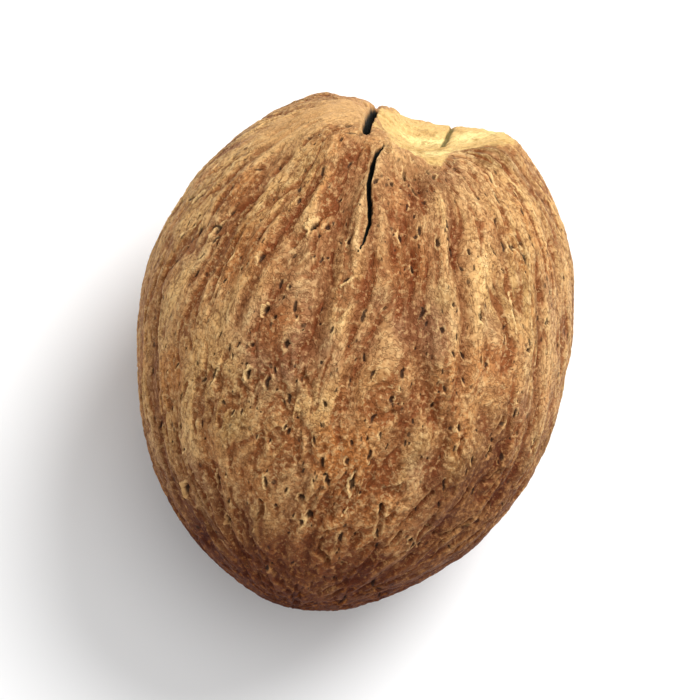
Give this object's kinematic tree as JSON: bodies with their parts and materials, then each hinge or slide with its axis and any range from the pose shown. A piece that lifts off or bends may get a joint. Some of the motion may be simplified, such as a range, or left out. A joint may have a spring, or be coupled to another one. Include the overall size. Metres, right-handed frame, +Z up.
{
  "type": "whole nutmeg",
  "caption": "Egg-shaped dried nutmeg seed lying on its side, with furrows down its skin, a dished scar at the blunt end and two dry cracks beside it.",
  "frame": {"origin": "on the ground, under the middle of the seed's box; the flat spot that it rests on lies there", "axes": "+Y along the seed to its blunt end with the scar, +X across the seed, +Z up"},
  "size_m": [0.024, 0.0292, 0.0227],
  "materials": {
    "nutmeg_skin": "dry brown seed skin, matte with a faint waxy sheen: tan ridges, red-brown furrows and pits, and a pale cream scar at the blunt end"
  },
  "bodies": {
    "root": {"nutmeg": "nutmeg_skin"}
  },
  "joints": []
}
